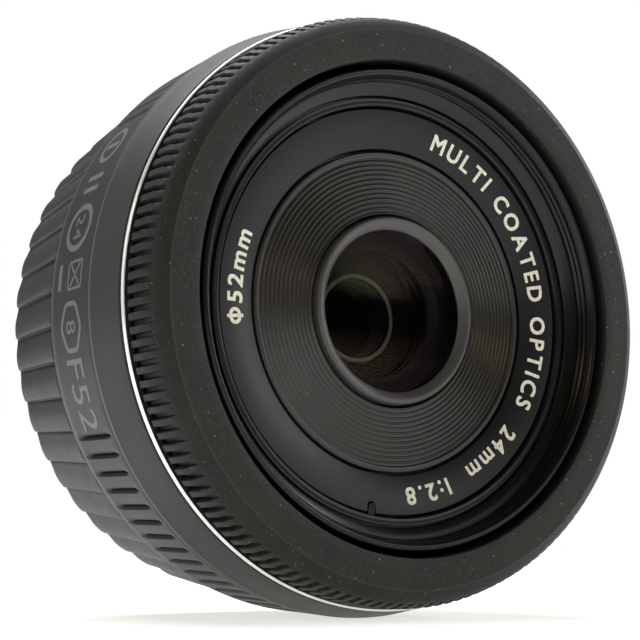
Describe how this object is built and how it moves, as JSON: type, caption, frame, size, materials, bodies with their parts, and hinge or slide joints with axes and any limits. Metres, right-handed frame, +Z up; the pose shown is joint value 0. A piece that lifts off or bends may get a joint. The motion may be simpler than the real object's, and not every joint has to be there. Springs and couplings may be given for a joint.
{
  "type": "prime camera lens",
  "caption": "Compact fixed-focal-length camera lens with a ribbed focus ring, recessed front group and a scalloped rear cap, resting on its rim.",
  "frame": {"origin": "lowest point of the barrel's widest circle, midway between the front face and the back of the rear cap", "axes": "+Z up; the optical axis is level along Y and the front faces -Y; +X is the side with the mode switch"},
  "size_m": [0.0682, 0.0388, 0.0682],
  "materials": {
    "ring_black": "matt",
    "barrel_grey": "satin",
    "cap_grey": "matt",
    "silver_trim": "polished",
    "mount_metal": "turned",
    "satin_black": "satin",
    "gloss_black": "gloss",
    "coated_glass": "coated",
    "gold_contact": "plated",
    "green_board": "satin",
    "brass_gear": "satin",
    "white_polymer": "satin",
    "blackened_steel": "matt black",
    "dark_felt": "felt"
  },
  "bodies": {
    "lens_body": {"rear_barrel": "barrel_grey", "trim_ring": "silver_trim", "bayonet_mount": "mount_metal", "mount_screw_1": "mount_metal", "mount_screw_2": "mount_metal", "mount_screw_3": "mount_metal", "mount_screw_4": "mount_metal", "contact_block": "satin_black", "contact_pin_1": "gold_contact", "contact_pin_2": "gold_contact", "contact_pin_3": "gold_contact", "contact_pin_4": "gold_contact", "contact_pin_5": "gold_contact", "contact_pin_6": "gold_contact", "contact_pin_7": "gold_contact", "rear_baffle": "satin_black", "main_board": "green_board", "gear_plate": "blackened_steel", "focus_motor": "mount_metal", "idler_shaft": "blackened_steel", "guide_tube": "satin_black", "focus_sensor": "satin_black", "sensor_flex": "brass_gear", "switch_plate": "satin_black"},
    "focus_ring": {"focus_ring": "ring_black", "encoder_comb": "blackened_steel"},
    "mode_switch": {"mode_switch": "satin_black"},
    "focus_group": {"focus_barrel": "gloss_black", "name_ring": "satin_black", "groove_ring": "satin_black", "front_bezel": "satin_black", "front_cell": "satin_black", "rear_cell": "satin_black", "lens_element_1": "coated_glass", "lens_element_2": "coated_glass", "lens_element_3": "coated_glass", "lens_element_4": "coated_glass", "lens_element_5": "coated_glass", "lens_element_6": "coated_glass", "iris_base": "satin_black", "iris_cover": "satin_black", "iris_motor": "mount_metal", "rear_retainer": "gloss_black", "cam_follower_1": "brass_gear", "cam_follower_2": "brass_gear", "cam_follower_3": "brass_gear"},
    "cam_ring": {"cam_ring": "brass_gear"},
    "idler_gear": {"idler_gear": "white_polymer"},
    "motor_pinion": {"motor_pinion": "brass_gear"},
    "iris_ring": {"iris_ring": "blackened_steel"},
    "iris_blade_1": {"iris_blade_1": "blackened_steel"},
    "iris_blade_2": {"iris_blade_2": "blackened_steel"},
    "iris_blade_3": {"iris_blade_3": "blackened_steel"},
    "iris_blade_4": {"iris_blade_4": "blackened_steel"},
    "iris_blade_5": {"iris_blade_5": "blackened_steel"},
    "iris_blade_6": {"iris_blade_6": "blackened_steel"},
    "iris_blade_7": {"iris_blade_7": "blackened_steel"},
    "cap_carrier": {"cap_pad": "dark_felt"},
    "rear_cap": {"rear_cap": "cap_grey"}
  },
  "joints": [
    {"name": "focus_ring_turn", "type": "hinge", "parent": "lens_body", "child": "focus_ring", "pos_m": [0, 0, 0.0341], "axis": [0, -1, 0], "continuous": true},
    {"name": "mode_switch_slide", "type": "slide", "parent": "lens_body", "child": "mode_switch", "axis": [0, 0, -1], "range_m": [0, 0.0026]},
    {"name": "focus_travel", "type": "slide", "parent": "lens_body", "child": "focus_group", "axis": [0, -1, 0], "range_m": [0, 0.005]},
    {"name": "cam_ring_turn", "type": "hinge", "parent": "lens_body", "child": "cam_ring", "pos_m": [0, 0, 0.0341], "axis": [0, -1, 0], "range_deg": [-60.5, 0.5]},
    {"name": "idler_turn", "type": "hinge", "parent": "lens_body", "child": "idler_gear", "pos_m": [0.011, 0, 0.05315], "axis": [0, -1, 0], "range_deg": [-326, 2]},
    {"name": "motor_turn", "type": "hinge", "parent": "lens_body", "child": "motor_pinion", "pos_m": [0.00402, 0, 0.05041], "axis": [0, -1, 0], "range_deg": [-4, 652]},
    {"name": "iris_ring_turn", "type": "hinge", "parent": "focus_group", "child": "iris_ring", "pos_m": [0, 0, 0.0341], "axis": [0, -1, 0], "range_deg": [0, 5.09]},
    {"name": "iris_blade_1_turn", "type": "hinge", "parent": "focus_group", "child": "iris_blade_1", "pos_m": [0.0074, 0, 0.0341], "axis": [0, -1, 0], "range_deg": [-0.5, 24.5]},
    {"name": "iris_blade_2_turn", "type": "hinge", "parent": "focus_group", "child": "iris_blade_2", "pos_m": [0.00461, 0, 0.03989], "axis": [0, -1, 0], "range_deg": [-0.5, 24.5]},
    {"name": "iris_blade_3_turn", "type": "hinge", "parent": "focus_group", "child": "iris_blade_3", "pos_m": [-0.00165, 0, 0.04131], "axis": [0, -1, 0], "range_deg": [-0.5, 24.5]},
    {"name": "iris_blade_4_turn", "type": "hinge", "parent": "focus_group", "child": "iris_blade_4", "pos_m": [-0.00667, 0, 0.03731], "axis": [0, -1, 0], "range_deg": [-0.5, 24.5]},
    {"name": "iris_blade_5_turn", "type": "hinge", "parent": "focus_group", "child": "iris_blade_5", "pos_m": [-0.00667, 0, 0.03089], "axis": [0, -1, 0], "range_deg": [-0.5, 24.5]},
    {"name": "iris_blade_6_turn", "type": "hinge", "parent": "focus_group", "child": "iris_blade_6", "pos_m": [-0.00165, 0, 0.02689], "axis": [0, -1, 0], "range_deg": [-0.5, 24.5]},
    {"name": "iris_blade_7_turn", "type": "hinge", "parent": "focus_group", "child": "iris_blade_7", "pos_m": [0.00461, 0, 0.02831], "axis": [0, -1, 0], "range_deg": [-0.5, 24.5]},
    {"name": "cap_pull", "type": "slide", "parent": "lens_body", "child": "cap_carrier", "axis": [0, 1, 0], "range_m": [0, 0.018]},
    {"name": "cap_twist", "type": "hinge", "parent": "cap_carrier", "child": "rear_cap", "pos_m": [0, 0, 0.0341], "axis": [0, -1, 0], "range_deg": [0, 60]}
  ],
  "couplings": [
    {"joint": "cam_ring_turn", "follows": "focus_travel", "rad_per_m": -209.44},
    {"joint": "idler_turn", "follows": "focus_travel", "rad_per_m": -1131},
    {"joint": "motor_turn", "follows": "focus_travel", "rad_per_m": 2261.9},
    {"joint": "iris_blade_1_turn", "follows": "iris_ring_turn", "ratio": 4.7156},
    {"joint": "iris_blade_2_turn", "follows": "iris_ring_turn", "ratio": 4.7156},
    {"joint": "iris_blade_3_turn", "follows": "iris_ring_turn", "ratio": 4.7156},
    {"joint": "iris_blade_4_turn", "follows": "iris_ring_turn", "ratio": 4.7156},
    {"joint": "iris_blade_5_turn", "follows": "iris_ring_turn", "ratio": 4.7156},
    {"joint": "iris_blade_6_turn", "follows": "iris_ring_turn", "ratio": 4.7156},
    {"joint": "iris_blade_7_turn", "follows": "iris_ring_turn", "ratio": 4.7156}
  ]
}
